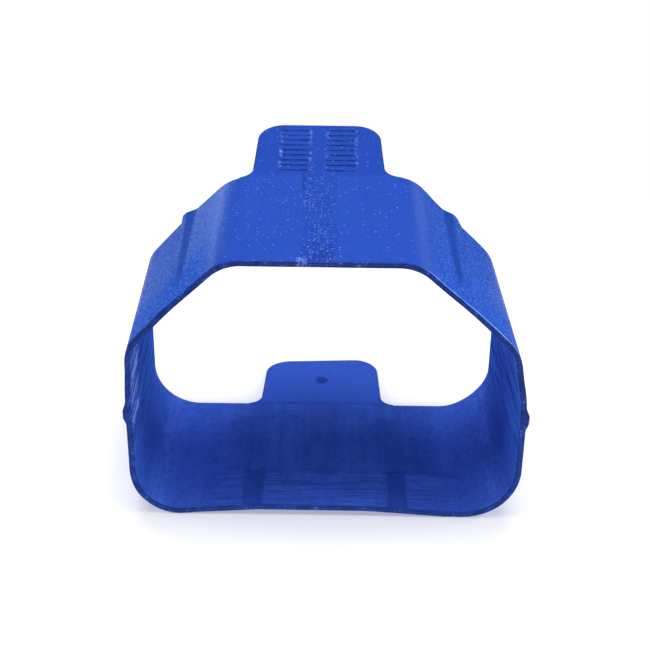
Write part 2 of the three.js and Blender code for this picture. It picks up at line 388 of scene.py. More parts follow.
# ---- The moulding's set ----
def warped(points):
    """Moves points (n, 3) of the plain shape, in millimetres, to where they lie on the real moulding."""
    x, y, z = points[:, 0], points[:, 1], points[:, 2]
    front = np.clip((REAR_Y - y) / DEPTH, 0, 1)
    upper = smooth(z, RACK_FROM, SLEEVE_HEIGHT)
    top_shift = RACK_TOP_REAR + (RACK_TOP_MOUTH - RACK_TOP_REAR) * front
    shift = RACK_BOTTOM_REAR * (1 - front) * (1 - upper) + top_shift * upper
    right = smooth(x, *SIDE_BLEND)
    share = np.clip(np.abs(x) / PINCH_WHOLE, 0, 1) * np.sign(x)
    pinch = PINCH[0] + (PINCH[1] - PINCH[0]) * right
    drawn_in = pinch * np.exp(-((z - PINCH_LEVEL) / PINCH_SPREAD) ** 2) * share
    drawn_in -= TOP_SPREAD * (1 - front) * smooth(z, *SPREAD_LEVELS) * share / CROWN_SHARE
    left_push, right_push = (at_mouth * front + at_rear * (1 - front) for at_mouth, at_rear in FOOT_PUSH)
    push = left_push * (1 - right) + right_push * right
    out = push * smooth(np.abs(x), *FOOT_ZONE) * (1 - smooth(z, *FOOT_LEVELS)) / math.sqrt(2)
    lift = np.interp(x, *np.transpose(LIP_LIFT))
    near = 1 - smooth(y - MOUTH_Y, 0, LIP_REACH)
    rise = lift * near * (1 - smooth(z, *LIP_LEVELS)) - TOP_DROOP * front ** 3 * smooth(z, *DROOP_LEVELS)
    rise += (CROWN_RISE * (1 - front) * smooth(z, *CROWN_LEVELS) * smooth(x, *CROWN_ZONE) *
             (1 - smooth(y - REAR_Y, *CROWN_REACH)))
    at_shoulder = np.exp(-((z - SHOULDER_LEVEL) / SHOULDER_SPREAD) ** 2)
    rise += SHOULDER_RISE * (1 - front) * at_shoulder * smooth(x, *SHOULDER_ZONE)
    return np.column_stack((x + shift - drawn_in + out * np.sign(x), y, np.maximum(z + rise - out, 0)))


# ---- Meshes ----
def make_object(name, vertices, faces, materials, slots=None, relief=None, laid=None):
    """A smooth-shaded mesh object from millimetres, with one material number per face. relief is the mark of
    each vertex, which the materials read to paint marks, highlights and shade: 0 to 1 on raised details and
    edges, down to -1 on sunk or shaded ones. laid is each vertex's place in millimetres with the tabs
    unbent, so that a pattern stays on the plastic when it bends."""
    mesh = bpy.data.meshes.new(name)
    mesh.from_pydata((np.asarray(vertices) * MM).tolist(), [], faces)
    for material in materials:
        mesh.materials.append(material)
    if slots is not None:
        mesh.polygons.foreach_set("material_index", np.asarray(slots, np.int32))
    mesh.polygons.foreach_set("use_smooth", np.ones(len(faces), bool))
    if relief is not None:
        mesh.attributes.new("relief", "FLOAT", "POINT").data.foreach_set("value", relief.astype(np.float32))
    if laid is not None:
        places = mesh.attributes.new("laid", "FLOAT_VECTOR", "POINT")
        places.data.foreach_set("vector", (np.asarray(laid) * MM).astype(np.float32).ravel())
    mesh.update()
    mesh.validate()
    made = bpy.data.objects.new(name, mesh)
    bpy.context.scene.collection.objects.link(made)
    return made


def edge_arc(steps):
    """Angles strictly inside a quarter turn."""
    return [math.pi / 2 * (i + 1) / (steps + 1) for i in range(steps)]


def rounding(y, depth, quarters):
    """The rounding of an edge of the wall about (y, depth), beginning after that many quarter turns."""
    angles = [(quarters - 1) * math.pi / 2 + angle for angle in edge_arc(4)]
    return [(y + RIM_RADIUS * math.cos(a), depth + RIM_RADIUS * math.sin(a), 2) for a in angles]


def wall_loop():
    """The wall's section from mouth to rear and back, as (y behind the mouth, depth below the outer face,
    zone). Zone 0 is the outer face, 1 the inner face, 2 an edge. The flat of the mouth's edge lies TRIM_LINE
    behind its witness line."""
    front, rear = TRIM_LINE + RIM_RADIUS, DEPTH - RIM_RADIUS
    shallow, deep = RIM_RADIUS, WALL - RIM_RADIUS
    near = front + np.cumsum(np.concatenate(([0], np.full(14, 0.08))))
    outer = np.concatenate((near, np.arange(near[-1] + 0.17, DEPTH - 0.9, 0.17),
                            np.linspace(DEPTH - 0.85, rear, 8)))
    inner = np.concatenate((np.linspace(rear, DEPTH - 0.5, 4),
                            np.arange(DEPTH - 0.75, CHANNEL_LENGTH + 0.5, -0.25),
                            np.arange(CHANNEL_LENGTH + 0.35, CHANNEL_LENGTH - 0.3, -0.07),
                            np.arange(CHANNEL_LENGTH - 0.4, front + 0.3, -0.25),
                            [front + 0.1, front]))
    loop = [(y, 0.0, 0) for y in outer] + rounding(rear, shallow, 0)
    loop += [(DEPTH, depth, 2) for depth in np.linspace(shallow, deep, 5)] + rounding(rear, deep, 1)
    loop += [(y, WALL, 1) for y in inner] + rounding(front, deep, 2)
    loop.append((TRIM_LINE, deep, 2))
    loop += [(TRIM_LINE * back, TRIM_DEPTH + aside, 2) for back, aside in TRIM_PROFILE]
    loop += [(TRIM_LINE * back, TRIM_DEPTH - aside, 2) for back, aside in reversed(TRIM_PROFILE[:-1])]
    loop.append((TRIM_LINE, shallow, 2))
    return np.array(loop + rounding(front, shallow, 3))


def edge_marks(x, y, z, depth):
    """Marks on the mouth's edge: the witness line, and a painted highlight on the outer corner at the top
    right.
    """
    witness = WITNESS_MARK * (1 - (y - MOUTH_Y) / TRIM_LINE)
    highlit = smooth(x, 6, 9) * smooth(z, 13, 16)
    corner = WITNESS_MARK + (CORNER_HIGHLIGHT_MARK - WITNESS_MARK) * highlit
    at_corner = (y < MOUTH_Y + TRIM_LINE + 0.8 * RIM_RADIUS) & (depth < 0.8 * RIM_RADIUS)
    return np.where(y < MOUTH_Y + TRIM_LINE, witness, np.where(at_corner, corner, 0))


def rib_shade(x, y, z):
    """1 on the ribs' long slopes, softly 0 around them."""
    off_slope = across_rib(x, z) + (RIB_CREST + RIB_SLOPE) / 2
    width = np.interp(y, (MOUTH_Y, REAR_Y), SHADE_WIDTH)
    stripe = np.clip(1.5 - np.abs(off_slope) / width, 0, 1)
    shoulder = SLEEVE_HEIGHT - CHAMFER_HEIGHT
    on_chamfer = smooth(z, shoulder, shoulder + 1.3)
    return stripe * on_chamfer * smooth(y, MOUTH_Y + RIB_START, MOUTH_Y + RIB_START + 3)


def band_mesh(materials):
    """The band: the wall's section swept along the outline, as one closed surface."""
    along = spaced(OUTLINE.length, outline_step)
    places, normals = OUTLINE.at(along)
    loop = wall_loop()
    around, across = len(along), len(loop)
    x0 = np.repeat(places[:, 0], across)
    z0 = np.repeat(places[:, 1], across)
    nx = np.repeat(normals[:, 0], across)
    nz = np.repeat(normals[:, 1], across)
    y = MOUTH_Y + np.tile(loop[:, 0], around)
    depth = np.tile(loop[:, 1], around)
    zone = np.tile(loop[:, 2], around)
    outer_share = np.where(zone == 0, 1.0, np.where(zone == 1, 0.0, 1 - depth / WALL))
    relief = outer_relief(x0, y, z0) * outer_share - inner_relief(x0, y, z0) * (1 - outer_share)
    scale = 1 - (1 - REAR_SCALE) * (y - MOUTH_Y) / DEPTH
    points = np.column_stack(((x0 + nx * (relief - depth)) * scale, y, (z0 + nz * (relief - depth)) * scale))
    points = warped(points)
    marks = (zone == 2) * edge_marks(x0, y, z0, depth) - (zone == 0) * RIB_SHADE * rib_shade(x0, y, z0)
    here = np.arange(around * across).reshape(around, across)
    on = np.roll(here, -1, axis=0)
    faces = np.stack((here, np.roll(here, -1, axis=1), np.roll(on, -1, axis=1), on), axis=-1).reshape(-1, 4)
    slots = np.maximum(loop[:, 2], np.roll(loop[:, 2], -1))
    return make_object("sleeve_moulding", points, faces.tolist(), materials, np.tile(slots, around), marks,
                       points)


# ---- Tabs ----
def tab_rows():
    """Distances along a tab from the band's rear edge, closest where the web bends and its root fillets are,
    and the tab's half width there."""
    radius = TAB_CORNER_RADIUS - TAB_EDGE_RADIUS
    length = TAB_LENGTH - TAB_EDGE_RADIUS
    root, end = TAB_ROOT_WIDTH / 2 - TAB_EDGE_RADIUS, TAB_END_WIDTH / 2 - TAB_EDGE_RADIUS
    straight = np.concatenate((
        np.array((-WEB_ROOT, -0.2)),
        np.arange(-0.16, 0.62, 0.04),
        np.arange(0.66, 1.1, 0.06),
        np.arange(1.12, length - radius, 0.062),
    ))
    half = root + (end - root) * np.clip(straight / (length - radius), 0, 1)
    flare = np.clip(1 - straight / ROOT_FILLET, 0, 1)
    half += ROOT_FILLET * (1 - np.sqrt(1 - np.minimum(flare, 0.99) ** 2))
    angles = np.linspace(0, math.pi / 2, CORNER_ROWS)
    bent = length - radius + radius * np.sin(angles)
    bent_half = end - radius + radius * np.cos(angles)
    return np.concatenate((straight, bent)), np.concatenate((half, bent_half))


def tab_grid():
    """Places (x, distance from the band's rear edge), row by column, of a tab's face inside its rounded
    edge."""
    distance, half = tab_rows()
    share = np.linspace(-1, 1, TAB_COLUMNS)
    x = half[:, None] * share[None, :]
    s = np.repeat(distance[:, None], len(share), axis=1)
    return x, s


def tab_thickness(s):
    """Thin at the web, and the wall's thickness on the tab."""
    return WEB_THICKNESS + (WALL - WEB_THICKNESS) * smooth(s, CREASE_GAP - 0.05, CREASE_GAP + 0.2)


def bar_relief(x, s):
    """The grip bars, from 0 to 1."""
    height = np.zeros_like(x)
    for column in BAR_COLUMNS:
        for row in range(BAR_COUNT):
            middle = BAR_FIRST + row * BAR_PITCH
            across = np.clip((BAR_LENGTH / 2 + 0.3 * BAR_EDGE - np.abs(x - column)) / BAR_EDGE, 0, 1)
            along = np.clip((BAR_WIDTH / 2 + 0.3 * BAR_EDGE - np.abs(s - middle)) / BAR_EDGE, 0, 1)
            height = np.maximum(height, np.minimum(across, along))
    return height


def place_on_curve(x, s, height, rear_height, rear_slope, flare, slant, flat_half):
    """Bends the flat tab: it leaves the wall along the wall's slope and turns to its flare in the web. Past
    flat_half on either side its root follows the wall's bend."""
    fine = np.linspace(-1, TAB_LENGTH + 1, 4001)
    angle = -rear_slope + (flare + rear_slope) * smooth(fine, 0, CREASE_GAP)
    step = fine[1] - fine[0]
    run = np.cumsum(np.cos(angle)) * step
    rise = np.cumsum(np.sin(angle)) * step
    run -= np.interp(0, fine, run)
    rise -= np.interp(0, fine, rise)
    s = s - slant * np.clip(SLANT_FROM - x, 0, None) * np.clip(s / TAB_LENGTH, 0, 1) ** 3
    turn = np.interp(s, fine, angle)
    y = REAR_Y + np.interp(s, fine, run) - height * np.sin(turn)
    z = rear_height + np.interp(s, fine, rise) + height * np.cos(turn)
    beyond = np.clip(np.abs(x) - flat_half, 0, None)
    z -= (beyond ** 2 / (2 * CROWN_RADIUS) + 0.01 * (beyond > 0)) * (1 - smooth(s, 0, 0.8))
    return np.column_stack((x, y, z))


def rim_rings(x, s, face, back, rim):
    """Rings (x, s, height) of the rounded edge that joins a tab's two sheets."""
    flat = np.column_stack((x.ravel()[rim], s.ravel()[rim]))
    tangent = np.roll(flat, -1, axis=0) - np.roll(flat, 1, axis=0)
    normal = np.column_stack((tangent[:, 1], -tangent[:, 0]))
    normal /= np.linalg.norm(normal, axis=1)[:, None]
    upper, lower = face.ravel()[rim], back.ravel()[rim]
    radius = TAB_EDGE_RADIUS
    levels = [(radius * math.sin(a), upper - radius * (1 - math.cos(a))) for a in edge_arc(3)]
    levels += [(radius, upper - radius), (radius, (upper + lower) / 2), (radius, lower + radius)]
    levels += [(radius * math.cos(a), lower + radius * (1 - math.sin(a))) for a in edge_arc(3)]
    rings = [(flat + normal * out, level) for out, level in levels]
    return [(ring[:, 0], ring[:, 1], level) for ring, level in rings]


def tab_faces(index, rim, ring_count):
    """Faces of the upper sheet, the lower sheet and the rings between them, and their material slots."""
    quads = np.stack((index[:-1, :-1], index[:-1, 1:], index[1:, 1:], index[1:, :-1]), axis=-1)
    quads = quads.reshape(-1, 4)
    faces = quads.tolist() + (quads[:, ::-1] + index.size).tolist()
    loops = [2 * index.size + i * len(rim) + np.arange(len(rim)) for i in range(ring_count)]
    loops = [rim] + loops + [rim + index.size]
    for upper, lower in zip(loops, loops[1:]):
        faces += np.stack((upper, lower, np.roll(lower, -1), np.roll(upper, -1)), axis=-1).tolist()
    slots = [0] * len(quads) + [1] * len(quads) + [2] * (len(faces) - 2 * len(quads))
    return faces, slots


def tab_mesh(name, materials, rear_height, rear_slope, flare, pattern, height, slant, shift, flat_half):
    """A tab with its web: an upper and a lower sheet, closed all round by a rounded edge. pattern(x, s) is
    the relief of its upper face as a share of height."""
    x, s = tab_grid()
    index = np.arange(x.size).reshape(x.shape)
    rim = np.concatenate((index[0, :-1], index[:-1, -1], index[-1, :0:-1], index[:0:-1, 0]))
    raised = pattern(x, s)
    face = WALL / 2 + TAB_LIFT - (WALL - WEB_THICKNESS) / 2 * (1 - smooth(s, *WEB_DIP))
    back = face - tab_thickness(s)
    rings = rim_rings(x, s, face, back, rim)
    sheets = [(x.ravel(), s.ravel(), level.ravel()) for level in (face + height * raised, back)]
    places, laid = [], []
    for across, along, level in sheets + rings:
        places.append(place_on_curve(across, along, level, rear_height, rear_slope, flare, slant, flat_half))
        laid.append(np.column_stack((across + RACK_TOP_REAR * (rear_height > WALL) + shift, REAR_Y + along,
                                     rear_height + level)))
    points = warped(np.concatenate(places))
    points[:, 0] += shift
    faces, slots = tab_faces(index, rim, len(rings))
    marks = np.zeros(len(points))
    marks[:x.size] = raised.ravel()
    return make_object(name, points, faces, materials, slots, marks, np.concatenate(laid))


def ejector_relief(x, s):
    """A shallow round mark with a slightly raised ring, as a share of its depth."""
    distance = np.hypot(x, s - CREASE_GAP / 2 - TAB_LENGTH / 2)
    mark = smooth(distance, EJECTOR_MARK_RADIUS - 0.1, EJECTOR_MARK_RADIUS) - 1
    ring = 0.25 * np.exp(-((distance - EJECTOR_MARK_RADIUS - 0.05) / 0.07) ** 2)
    return mark + ring


# ---- Materials ----
class Nodes:
    """Short calls for building one material's node tree."""

    def __init__(self, name, laid=True):
        self.material = bpy.data.materials.new(name)
        self.material.use_nodes = True
        self.tree = self.material.node_tree
        self.shader = self.tree.nodes["Principled BSDF"]
        if laid:
            places = self.tree.nodes.new("ShaderNodeAttribute")
            places.attribute_name = "laid"
            self.place = places.outputs["Vector"]
        else:
            self.place = self.tree.nodes.new("ShaderNodeTexCoord").outputs["Object"]

    def add(self, kind, inputs=None, **settings):
        node = self.tree.nodes.new(kind)
        for key, value in settings.items():
            setattr(node, key, value)
        for key, value in (inputs or {}).items():
            self.put(value, node.inputs[key])
        return node

    def put(self, value, socket):
        if isinstance(value, bpy.types.NodeSocket):
            self.tree.links.new(value, socket)
        else:
            socket.default_value = value

    def stretched(self, scale):
        """The places, scaled per axis to 1/mm."""
        mapping = self.add("ShaderNodeMapping", {"Vector": self.place})
        mapping.inputs["Scale"].default_value = [s / MM for s in scale]
        return mapping.outputs["Vector"]

    def noise(self, scale, detail=2.0, roughness=0.5, distortion=0.0):
        node = self.add("ShaderNodeTexNoise", {"Vector": self.stretched(scale), "Scale": 1.0,
                                               "Detail": detail, "Roughness": roughness,
                                               "Distortion": distortion})
        return node.outputs["Fac"]

    def ramp(self, value, low, high, to_low=0.0, to_high=1.0):
        node = self.add("ShaderNodeMapRange", {"Value": value, "From Min": low, "From Max": high,
                                               "To Min": to_low, "To Max": to_high},
                        interpolation_type="SMOOTHSTEP")
        return node.outputs["Result"]

    def math(self, operation, first, second=0.0):
        node = self.add("ShaderNodeMath", operation=operation)
        self.put(first, node.inputs[0])
        self.put(second, node.inputs[1])
        return node.outputs["Value"]

    def chained(self, operation, values):
        result, *others = values
        for value in others:
            result = self.math(operation, result, value)
        return result

    def times(self, *values):
        return self.chained("MULTIPLY", values)

    def plus(self, *values):
        return self.chained("ADD", values)

    def greatest(self, *values):
        return self.chained("MAXIMUM", values)

    def flipped(self, mask, share=1.0):
        """1 where the mask is 0, and 1 - share where it is 1."""
        return self.math("SUBTRACT", 1.0, self.times(mask, share))

    def mix(self, share, first, second):
        node = self.add("ShaderNodeMix", data_type="RGBA")
        self.put(share, node.inputs["Factor"])
        self.put(first, node.inputs["A"])
        self.put(second, node.inputs["B"])
        return node.outputs["Result"]

    def tinted(self, colour, tint, *shares):
        """The colour, moved towards the tint by the product of the shares."""
        return self.mix(self.times(*shares), colour, tint)

    def bump(self, height, distance):
        node = self.add("ShaderNodeBump", {"Height": height, "Distance": distance * MM, "Strength": 1.0})
        return node.outputs["Normal"]

    def relief(self):
        """The mesh's marks: above 0 on raised details, below 0 on sunk and shaded ones."""
        return self.add("ShaderNodeAttribute", attribute_name="relief").outputs["Fac"]

    def axis(self, letter):
        return self.add("ShaderNodeSeparateXYZ", {"Vector": self.place}).outputs[letter]

    def sideways(self):
        """The distance to either side of the middle."""
        return self.math("ABSOLUTE", self.axis("X"))

    def rising(self, letter, low, high):
        """0 below low and 1 above high, two millimetre places on an axis."""
        return self.ramp(self.axis(letter), low * MM, high * MM)

    def falling(self, letter, low, high, lowest=0.0):
        """1 below low and lowest above high, two millimetre places on an axis."""
        return self.ramp(self.axis(letter), low * MM, high * MM, 1.0, lowest)

    def band(self, letter, low, high, soft):
        """1 between two millimetre places on an axis, softly 0 outside."""
        return self.times(self.rising(letter, low - soft, low + soft),
                          self.falling(letter, high - soft, high + soft))

    def specks(self, scale, limit, busy, more, size):
        """Sparse round specks, 1 on each, more of them where busy is 1. size is a share of the spacing."""
        cells = self.add("ShaderNodeTexVoronoi", {"Vector": self.stretched((scale, scale, scale)),
                                                  "Scale": 1.0}, feature="F1")
        dot = self.ramp(cells.outputs["Distance"], 0.3 * size, size, 1.0, 0.0)
        chance = self.add("ShaderNodeSeparateColor", {"Color": cells.outputs["Color"]}).outputs["Red"]
        needed = self.math("SUBTRACT", limit, self.times(busy, more))
        return self.times(dot, self.math("GREATER_THAN", chance, needed))

    def on_top(self):
        """1 on the top wall and the upper tab."""
        return self.rising("Z", 18, 20)

    def on_tabs(self):
        """1 behind the band's rear edge."""
        return self.rising("Y", REAR_Y, REAR_Y + 0.6)

    def top_strip(self):
        """1 on the rougher strip along the top wall, in patches."""
        middle = (RACK_TOP_MOUTH + RACK_TOP_REAR) / 2
        across = self.band("X", PANEL[0] + middle, PANEL[1] + middle, 0.2)
        patches = self.ramp(self.noise((0.7, 0.35, 0.7)), 0.3, 0.6, 0.45, 1.0)
        before_tab = self.falling("Y", REAR_Y + 0.2, REAR_Y + 0.8, 0.1)
        return self.times(across, self.on_top(), patches, before_tab)

    def gate_fan(self):
        """1 on the rough triangle where the melt came in, at the front of the strip."""
        left = self.plus(self.axis("X"), self.times(self.axis("Y"), -FAN_SPREAD))
        start = PANEL[0] + RACK_TOP_MOUTH - 0.1 - FAN_SPREAD * MOUTH_Y
        inside = self.ramp(left, (start - 0.1) * MM, (start + 0.1) * MM)
        right = self.falling("X", RACK_TOP_MOUTH + 0.7, RACK_TOP_MOUTH + 1.1)
        near = self.falling("Y", MOUTH_Y + 2.2, MOUTH_Y + 3.2)
        return self.times(inside, right, self.on_top(), near)

    def gate_highlight(self, grain):
        """1 in spots on the gate mark, where a painted highlight goes."""
        across = self.band("X", GATE_X - 0.25, GATE_X + 0.45, 0.12)
        near = self.falling("Y", MOUTH_Y + 0.45, MOUTH_Y + 0.75)
        return self.times(across, self.on_top(), near, self.ramp(grain, 0.42, 0.54, 0.1, 0.85))

    def strip_edge_shade(self):
        """1 along the strip's left edge near the upper tab, as painted shade for the shaded side of the sunk
        strip.
        """
        place = PANEL[0] + RACK_TOP_REAR - 0.05
        line = self.band("X", place - 0.12, place + 0.12, 0.06)
        return self.times(line, self.band("Y", REAR_Y - 2.6, REAR_Y + 0.7, 0.5), self.on_top())

    def bar_end_highlights(self, grain, breakup):
        """Painted highlights on the ends of the grip bars, in spots."""
        places = [column + side * BAR_LENGTH / 2 + RACK_TOP_REAR + TAB_SHIFT
                  for column in BAR_COLUMNS for side in (-1, 1)]
        ends = self.plus(*(self.band("X", place - 0.12, place + 0.12, 0.08) for place in places))
        on_bars = self.band("Y", REAR_Y + BAR_FIRST - 0.2, REAR_Y + TAB_LENGTH - 0.8, 0.1)
        spots = self.times(self.ramp(grain, 0.46, 0.6), self.ramp(breakup, 0.46, 0.62, 0.1, 0.75))
        return self.times(ends, on_bars, self.on_top(), spots)


BLUE = (0.020, 0.070, 0.43, 1)
DEEP_BLUE = (0.013, 0.048, 0.31, 1)
BRIGHT_BLUE = (0.026, 0.082, 0.49, 1)
CHAMFER_SHEEN_BLUE = (0.022, 0.115, 0.70, 1)  # painted sheen on the chamfers, where they catch the light
LOWER_TAB_BLUE = (0.036, 0.092, 0.46, 1)
NAVY = (0.008, 0.026, 0.16, 1)
PALE_BLUE = (0.16, 0.30, 0.80, 1)
# painted shade on the edges
EDGE_SHADE_BLUE = (0.011, 0.038, 0.24, 1)
INNER_BLUE = (0.035, 0.089, 0.42, 1)
PALE_INNER_BLUE = (0.046, 0.112, 0.52, 1)
INNER_SIDE_LIGHT_BLUE = (0.050, 0.135, 0.64, 1)  # painted light on the inner floor's sides
BEND_SHEEN_BLUE = (0.075, 0.175, 0.74, 1)
INNER_WALL_LIGHT_BLUE = (0.060, 0.165, 0.76, 1)
STREAK_BLUE = (0.010, 0.036, 0.24, 1)
# painted highlight on the glossy streaks of the left inner wall
STREAK_HIGHLIGHT_BLUE = (0.50, 0.62, 1.0, 1)
TOOLING_BLUES = (0.030, 0.084, 0.42, 1), (0.056, 0.140, 0.62, 1)
FLOOR_GREYS = (0.90, 0.90, 0.90, 1), (0.92, 0.92, 0.92, 1)

OUTER_GLOSS = 0.025
DULLED = 0.024  # how much of that is lost on the chamfers near the mouth and on the ribs' slopes
EDGE_GLOSS = 0.06
OUTER_BUMP = 0.07  # depth of the grain, in millimetres
INNER_BUMP = 0.03
EDGE_BUMP = 0.015


def plastic(nodes, colour, roughness, normal, gloss):
    """Fills in the shader: a satin, slightly translucent polypropylene."""
    shader = nodes.shader
    nodes.put(colour, shader.inputs["Base Color"])
    nodes.put(roughness, shader.inputs["Roughness"])
    nodes.put(normal, shader.inputs["Normal"])
    nodes.put(gloss, shader.inputs["Specular IOR Level"])
    shader.inputs["IOR"].default_value = 1.49
    shader.inputs["Subsurface Weight"].default_value = 0.35
    shader.inputs["Subsurface Radius"].default_value = (0.15, 0.35, 1.0)
    shader.inputs["Subsurface Scale"].default_value = 0.6 * MM
    return nodes.material


def grained_plastic():
    """The outer faces: spark-eroded grain with painted glints as pale specks, coarser on the chamfers, which
    carry painted sheen, and rougher along the top's strip, which widens to a fan where the melt came in. The
    grip bars get painted shade on their flanks and painted highlights on their ends."""
    nodes = Nodes("grained_polypropylene")
    grain = nodes.noise((5.5, 5.5, 5.5), detail=3.0, roughness=0.65)
    pits = nodes.noise((8, 8, 8), detail=1.0)
    broad = nodes.noise((0.16, 0.12, 0.16))
    breakup = nodes.noise((1.6, 2.4, 1.6))
    relief = nodes.relief()
    shade = nodes.ramp(relief, -RIB_SHADE, 0.0, 1.0, 0.0)

    # Where the grain is coarse, and where the specks are.
    above = nodes.rising("Z", 2, 5)
    on_upper_tab = nodes.times(nodes.on_tabs(), above)
    on_lower_tab = nodes.times(nodes.on_tabs(), nodes.falling("Z", 1, 2))
    chamfer = nodes.times(nodes.rising("Z", 5, 13.5), nodes.falling("Z", 19.4, 21),
                          nodes.ramp(nodes.sideways(), 4.8 * MM, 7.6 * MM))
    busy = nodes.greatest(nodes.top_strip(), nodes.gate_fan())
    rough = nodes.greatest(busy, nodes.times(chamfer, 0.9))
    contrast = nodes.plus(0.15, nodes.times(rough, 0.75))
    # Painted glints: pale specks standing for highlights on the grain.
    glint = nodes.greatest(nodes.specks(2.4, 0.80, busy, 0.45, 0.27),
                           nodes.specks(4.4, 0.95, rough, 0.45, 0.42))
    glint = nodes.times(glint, nodes.math("SUBTRACT", above, nodes.times(on_upper_tab, 0.5)),
                        nodes.flipped(shade, 0.8))

    # The colour.
    colour = nodes.tinted(BLUE, BRIGHT_BLUE, nodes.ramp(broad, 0.3, 0.7), 0.3)
    # Painted sheen: the chamfers lighter, and paler on the grain's high spots, for the light they catch.
    colour = nodes.tinted(colour, CHAMFER_SHEEN_BLUE, chamfer, 0.75)
    colour = nodes.tinted(colour, DEEP_BLUE, nodes.ramp(grain, 0.42, 0.56, 1.0, 0.0), contrast, 0.8)
    colour = nodes.tinted(colour, PALE_BLUE, nodes.ramp(grain, 0.54, 0.64), chamfer, 0.32)
    pitted = nodes.plus(nodes.times(busy, 0.22), nodes.times(chamfer, 0.5))
    colour = nodes.tinted(colour, NAVY, nodes.ramp(pits, 0.57, 0.68), pitted)
    # Painted shade: the upper tab darker, as its flare turns it from the light.
    colour = nodes.tinted(colour, DEEP_BLUE, on_upper_tab, 0.5)
    colour = nodes.tinted(colour, LOWER_TAB_BLUE, on_lower_tab, 0.8)
    # Painted shade on the grip bars' flanks, broken up in patches.
    from_half = nodes.math("ABSOLUTE", nodes.math("SUBTRACT", relief, 0.5))
    bar_flank_shade = nodes.ramp(from_half, 0.1, 0.48, 1.0, 0.0)
    colour = nodes.tinted(colour, NAVY, bar_flank_shade, nodes.ramp(breakup, 0.35, 0.6, 0.3, 1.0))
    # Painted highlights on the grip bars' ends.
    colour = nodes.tinted(colour, PALE_BLUE, nodes.bar_end_highlights(grain, breakup))
    # Painted highlight on the gate mark.
    colour = nodes.tinted(colour, PALE_BLUE, nodes.gate_highlight(grain))
    # Painted shade along the strip's left edge.
    colour = nodes.tinted(colour, NAVY, nodes.strip_edge_shade(), 0.45)
    colour = nodes.tinted(colour, DEEP_BLUE, shade, 0.85)
    sunk = nodes.ramp(relief, -1.0, -0.3, 0.5, 0.0)
    colour = nodes.tinted(colour, NAVY, sunk, nodes.ramp(breakup, 0.3, 0.6, 0.4, 1.0))
    fan_pits = nodes.times(nodes.gate_fan(), nodes.ramp(pits, 0.42, 0.54, 0.55, 0.0))
    colour = nodes.tinted(colour, NAVY, fan_pits)
    colour = nodes.tinted(colour, PALE_BLUE, glint, 0.75)

    # The surface.
    roughness = nodes.ramp(grain, 0.3, 0.7, 0.22, 0.34)
    height = nodes.times(nodes.plus(grain, nodes.times(pits, -0.6)), contrast)
    height = nodes.plus(height, nodes.times(glint, 0.3), nodes.times(fan_pits, -0.5))
    near_mouth = nodes.falling("Y", MOUTH_Y + 3, MOUTH_Y + 8)
    dull = nodes.greatest(nodes.times(chamfer, near_mouth), shade)
    gloss = nodes.math("SUBTRACT", OUTER_GLOSS, nodes.times(dull, DULLED))
    return plastic(nodes, colour, roughness, nodes.bump(height, OUTER_BUMP), gloss)


def lip_zone(nodes):
    """Two masks inside the bottom lip: 1 where the tool left fine lines, and 1 on the smooth channels."""
    wander = nodes.times(nodes.noise((0.5, 0.5, 0.5)), 2.0 * MM)
    behind = nodes.plus(nodes.axis("Y"), wander)
    end = MOUTH_Y + CHANNEL_LENGTH + 1.0
    lip = nodes.times(nodes.ramp(behind, (end - 0.15) * MM, (end + 0.15) * MM, 1.0, 0.0),
                      nodes.falling("Z", 0.9, 1.6), nodes.band("X", -8.6, 10.0, 1.2))
    half = CHANNEL_WIDTH / 2
    channels = nodes.plus(*(nodes.band("X", middle - half, middle + half, 0.1)
                            for middle in (-CHANNEL_OFFSET, CHANNEL_OFFSET)))
    return nodes.times(lip, nodes.flipped(channels)), nodes.times(lip, channels)


